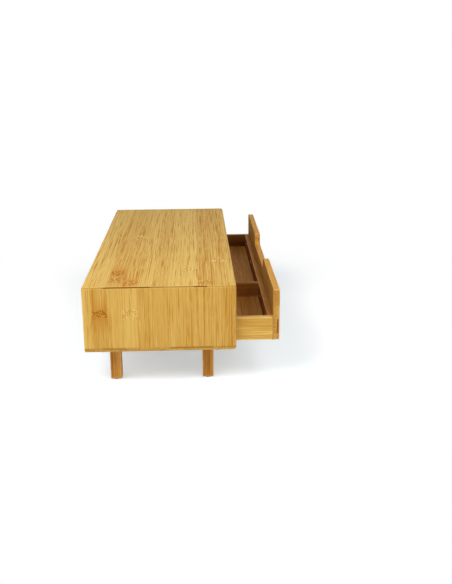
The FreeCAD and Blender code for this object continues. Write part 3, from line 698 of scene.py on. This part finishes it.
def dress_fixings():
    """Dowels, splines, screws, bolts, inserts and feet."""
    beech = plain("beech_dowel", linear(205, 170, 125), 0.6)
    tongue = plain("beech_tongue", linear(190, 136, 66), 0.6)
    zinc = plain("zinc_steel", linear(200, 202, 205), 0.32, metallic=1.0, mottle=0.05)
    brass = plain("brass", linear(205, 170, 95), 0.35, metallic=1.0, mottle=0.08)
    rubber = plain("foot_rubber", linear(38, 36, 34), 0.75, mottle=0.2, scale=900.0)
    choices = (("dowels", beech), ("spline", tongue), ("screws", zinc), ("bolts", zinc),
               ("inserts", brass), ("foot", rubber))
    for name in nodes:
        for ending, material in choices:
            if name.endswith(ending):
                give(nodes[name], material)
    make_screws("bottom_panel_screws", "case", zinc)
    make_screws("drawer_guide_screws", "case", zinc)
    make_screws("drawer_front_screws", "drawer", zinc)


# Countersunk screws with a cross recess and a wood thread, in metres.
SCREW_SIDES = 24
HEAD_RIM = 0.0002
CONE_DEPTH = 0.0017
RECESS_ARM = 0.0017
RECESS_HALF_WIDTH = 0.00042
RECESS_DEPTH = 0.0012
RECESS_TAPER = 0.6
THREAD_PITCH = 0.0014
THREAD_DEPTH = 0.0004
RINGS_PER_TURN = 4
TIP_LENGTH = 0.003
WELD = 1e-6


def screw_ring(bm, z, radius):
    """One ring of a screw's vertices. radius is a function of the angle as a share of a turn."""
    ring = []
    for side in range(SCREW_SIDES):
        share = side / SCREW_SIDES
        angle = 2 * math.pi * share
        reach = radius(share)
        ring.append(bm.verts.new((reach * math.cos(angle), reach * math.sin(angle), z)))
    return ring


def join_rings(bm, first, second):
    """Faces between two closed rings that have as many vertices."""
    for at in range(len(first)):
        after = (at + 1) % len(first)
        bm.faces.new((first[at], first[after], second[after], second[at]))


def close_ring(bm, ring, z):
    """Faces from a ring to one point on the screw's axis."""
    middle = bm.verts.new((0, 0, z))
    for at in range(len(ring)):
        bm.faces.new((ring[at], ring[(at + 1) % len(ring)], middle))


def cross_ring(bm, z, scale):
    """The twelve corners of the cross recess at one depth."""
    corners = []
    for quarter in range(4):
        turn = Matrix.Rotation(quarter * math.pi / 2, 3, "Z")
        for x, y in ((RECESS_ARM, -RECESS_HALF_WIDTH), (RECESS_ARM, RECESS_HALF_WIDTH),
                     (RECESS_HALF_WIDTH, RECESS_HALF_WIDTH)):
            corners.append(bm.verts.new(turn @ Vector((x * scale, y * scale, z))))
    return corners


def screw_mesh(head_radius, shank_radius, length):
    """A screw that points down from its head's flat face at the origin."""
    bm = bmesh.new()
    rim = screw_ring(bm, 0, lambda share: head_radius - HEAD_RIM / 2)
    mouth = cross_ring(bm, 0, 1)
    edges = [bm.edges.new((ring[at], ring[at - 1]))
             for ring in (rim, mouth) for at in range(len(ring))]
    bmesh.ops.triangle_fill(bm, use_beauty=True, edges=edges)
    floor = cross_ring(bm, -RECESS_DEPTH, RECESS_TAPER)
    join_rings(bm, mouth, floor)
    close_ring(bm, floor, -RECESS_DEPTH)

    edge = screw_ring(bm, -HEAD_RIM, lambda share: head_radius)
    join_rings(bm, rim, edge)
    last = screw_ring(bm, -CONE_DEPTH, lambda share: shank_radius)
    join_rings(bm, edge, last)
    step = THREAD_PITCH / RINGS_PER_TURN
    for turn in range(1, int((length - CONE_DEPTH) / step)):
        down = CONE_DEPTH + turn * step
        taper = min(1.0, (length - down) / TIP_LENGTH)

        def thread(share):
            phase = (down / THREAD_PITCH + share) % 1
            return taper * (shank_radius - THREAD_DEPTH * abs(2 * phase - 1))

        ring = screw_ring(bm, -down, thread)
        join_rings(bm, last, ring)
        last = ring
    close_ring(bm, last, -length)
    bmesh.ops.recalc_face_normals(bm, faces=bm.faces)
    return bm


def loose_parts(mesh):
    """The points of each separate part of a mesh."""
    bm = bmesh.new()
    bm.from_mesh(mesh)
    bmesh.ops.remove_doubles(bm, verts=bm.verts, dist=WELD)
    left = set(bm.verts)
    while left:
        reached = [left.pop()]
        for vert in reached:
            for edge in vert.link_edges:
                other = edge.other_vert(vert)
                if other in left:
                    left.remove(other)
                    reached.append(other)
        yield [vert.co.copy() for vert in reached]
    bm.free()


def screw_place(points):
    """Middle of a plain screw's flat face, the way its head faces, head radius and length."""
    low = Vector([min(point[axis] for point in points) for axis in range(3)])
    high = Vector([max(point[axis] for point in points) for axis in range(3)])
    axis = max(range(3), key=lambda part: high[part] - low[part])
    middle = (low + high) / 2
    head = max(points, key=lambda point: sum((point[part] - middle[part]) ** 2
                                             for part in range(3) if part != axis))
    outward = Vector((0, 0, 0))
    outward[axis] = 1.0 if head[axis] > middle[axis] else -1.0
    middle[axis] = high[axis] if outward[axis] > 0 else low[axis]
    radius = (high - low)[(axis + 1) % 3] / 2
    return middle, outward, radius, (high - low)[axis]


def make_screws(node, body, material):
    """Detailed screws in the places of a CAD node's plain ones."""
    whole = bmesh.new()
    found = [screw_place(points) for points in loose_parts(nodes[node].data)]
    for place, outward, head_radius, length in sorted(found, key=lambda screw: tuple(screw[0])):
        screw = screw_mesh(head_radius, head_radius - CONE_DEPTH, length)
        turn = outward.to_track_quat("Z", "Y").to_matrix().to_4x4()
        screw.transform(Matrix.Translation(place) @ turn)
        mesh = bpy.data.meshes.new("screw")
        screw.to_mesh(mesh)
        screw.free()
        whole.from_mesh(mesh)
        bpy.data.meshes.remove(mesh)
    mesh = bpy.data.meshes.new(f"{node}_cut")
    whole.to_mesh(mesh)
    whole.free()
    piece = bpy.data.objects.new(f"{node}_cut", mesh)
    bpy.context.scene.collection.objects.link(piece)
    give(piece, material)
    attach(piece, body)
    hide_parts(node)


# Studio. The floor is lit and also glows a little. Within WARM_REACH of the stand it is bluer, against
# the warm light that the wood throws on it. From STAND_REACH to WHITE_REACH it turns pure white.
FLOOR_HALF = 4.0
STAND_REACH = 0.28
WHITE_REACH = 0.62
FADE_SQUEEZE = (1.0, 1.25, 1.0)
WARM_REACH = 0.14
WHITE = (1, 1, 1, 1)
LIT_COLOUR = (0.78, 0.78, 0.78, 1)
LIT_COLOUR_BY_STAND = (0.74, 0.76, 0.78, 1)
GLOW_COLOUR = (0.96, 0.98, 1, 1)
GLOW_COLOUR_BY_STAND = (0.82, 0.94, 1, 1)
GLOW_STRENGTH = 0.50
BOUNCE_COLOUR = (0.80, 0.80, 0.80, 1)
AMBIENT = 0.06


def seen_rays(graph):
    """1 on the rays that show the background: the camera's, and those off gloss or through glass."""
    path = graph.add("LightPath").outputs
    seen = graph.math("MAXIMUM", path["Is Glossy Ray"], path["Is Transmission Ray"])
    return graph.math("MAXIMUM", path["Is Camera Ray"], seen)


def floor_material():
    """Pale paper as the camera and reflections see it. To other light it is plain paper."""
    graph = material_graph("floor_paper")
    place = graph.add("TexCoord").outputs["Object"]
    beyond = graph.vector_math("SUBTRACT", graph.vector_math("ABSOLUTE", place), cad_box[1])
    beyond = graph.vector_math("LENGTH", graph.vector_math("MAXIMUM", beyond, (0, 0, 0)))
    by_stand = graph.ramp(beyond, 0.0, WARM_REACH, 1.0, 0.0)
    lit = graph.add("BsdfDiffuse", {"Color": graph.mix(by_stand, LIT_COLOUR, LIT_COLOUR_BY_STAND)})
    glow = graph.add("Emission", {"Color": graph.mix(by_stand, GLOW_COLOUR, GLOW_COLOUR_BY_STAND),
                                  "Strength": GLOW_STRENGTH})
    near = graph.add("AddShader", {0: lit.outputs[0], 1: glow.outputs[0]})
    white = graph.add("Emission", {"Color": WHITE, "Strength": 1.0})
    away = graph.vector_math("LENGTH", graph.vector_math("MULTIPLY", place, FADE_SQUEEZE))
    fade = graph.ramp(away, STAND_REACH, WHITE_REACH)
    shown = graph.add("MixShader", {0: fade, 1: near.outputs[0], 2: white.outputs[0]})
    bounce = graph.add("BsdfDiffuse", {"Color": BOUNCE_COLOUR})
    surface = graph.add("MixShader", {0: seen_rays(graph), 1: bounce.outputs[0], 2: shown.outputs[0]})
    return graph.output(surface)


def make_floor():
    """Pale floor that keeps the stand's soft shadow."""
    mesh = bpy.data.meshes.new("floor")
    corners = [(x * FLOOR_HALF, y * FLOOR_HALF, 0) for x, y in ((-1, -1), (1, -1), (1, 1), (-1, 1))]
    mesh.from_pydata(corners, [], [(0, 1, 2, 3)])
    floor = bpy.data.objects.new("floor", mesh)
    bpy.context.scene.collection.objects.link(floor)
    give(floor, floor_material())


def make_world():
    """White backdrop, with a weaker even light on the stand."""
    world = bpy.data.worlds.new("studio")
    bpy.context.scene.world = world
    graph = Graph(world)
    strength = graph.add("MapRange", {"Value": seen_rays(graph), "To Min": AMBIENT}).outputs["Result"]
    background = graph.add("Background", {"Color": WHITE, "Strength": strength})
    graph.add("OutputWorld", {"Surface": background.outputs[0]})


# Square soft boxes: name, target, azimuth, elevation, distance, size, power, whether it is mirrored.
# The azimuth is measured from -X towards -Y, seen from the target. A lamp that isn't mirrored leaves
# no sheen on the lacquer.
HALF_HEIGHT = 0.07
MIDDLE = (0, 0, HALF_HEIGHT)
NEAR_TOP = (TOP_LOW.x, 0, TOP_HIGH.z)
NEAR_END = (TOP_LOW.x, 0, HALF_HEIGHT)
FAR_END = (TOP_HIGH.x, 0, HALF_HEIGHT)
LAMPS = (
    ("left_key", NEAR_TOP, -50, 47, 1.25, 0.8, 12.6, True),
    ("right_key", NEAR_TOP, 50, 47, 1.25, 0.8, 7.6, True),
    ("left", MIDDLE, -80, 24, 2.0, 1.0, 8, True),
    ("low_front", NEAR_END, 5, 4, 1.8, 0.9, 3.0, True),
    ("back", FAR_END, 180, 15, 1.8, 0.9, 4, False),
    ("right", MIDDLE, 80, 34, 2.0, 1.0, 8, True),
)


def make_lamp(name, target, azimuth, elevation, distance, size, power, mirrored):
    """One soft box that faces its target. Angles in degrees, lengths in metres, power in watts."""
    turn = math.radians(azimuth)
    rise = math.radians(elevation)
    level = math.cos(rise)
    away = Vector((-math.cos(turn) * level, -math.sin(turn) * level, math.sin(rise)))
    data = bpy.data.lights.new(name, "AREA")
    data.size = size
    data.energy = power
    lamp = bpy.data.objects.new(name, data)
    lamp.location = Vector(target) + away * distance
    lamp.rotation_mode = "QUATERNION"
    lamp.rotation_quaternion = away.to_track_quat("Z", "Y")
    lamp.visible_glossy = mirrored
    bpy.context.scene.collection.objects.link(lamp)


# Camera, in metres and radians. It looks along the stand from its left end. The middle of the lens
# lies CENTRE_RISE pixels above the middle of the image.
IMAGE_HEIGHT = 584
CAMERA_PLACE = (-1.15687, -0.01971, 0.43537)
CAMERA_PITCH = 0.2776
CAMERA_YAW = 0.0414
CAMERA_ROLL = 0.0056
FOCAL_PIXELS = 747.25
CENTRE_RISE = 32
SENSOR = 36.0


def make_camera():
    """Camera at the photograph's viewpoint."""
    data = bpy.data.cameras.new("camera")
    data.sensor_width = SENSOR
    data.lens = FOCAL_PIXELS / IMAGE_HEIGHT * SENSOR
    data.shift_y = -CENTRE_RISE / IMAGE_HEIGHT
    forward = Vector((math.cos(CAMERA_PITCH) * math.cos(CAMERA_YAW),
                      -math.cos(CAMERA_PITCH) * math.sin(CAMERA_YAW), -math.sin(CAMERA_PITCH)))
    level_right = forward.cross(Vector((0, 0, 1))).normalized()
    level_down = forward.cross(level_right)
    right = math.cos(CAMERA_ROLL) * level_right + math.sin(CAMERA_ROLL) * level_down
    down = math.cos(CAMERA_ROLL) * level_down - math.sin(CAMERA_ROLL) * level_right
    camera = bpy.data.objects.new("camera", data)
    bpy.context.scene.collection.objects.link(camera)
    turn = Matrix((right, -down, -forward)).transposed()
    camera.matrix_world = Matrix.Translation(CAMERA_PLACE) @ turn.to_4x4()
    bpy.context.scene.camera = camera


dress_boards()
dress_fixings()
make_floor()
make_world()
for lamp in LAMPS:
    make_lamp(*lamp)
make_camera()
bpy.context.scene.view_settings.view_transform = "Standard"
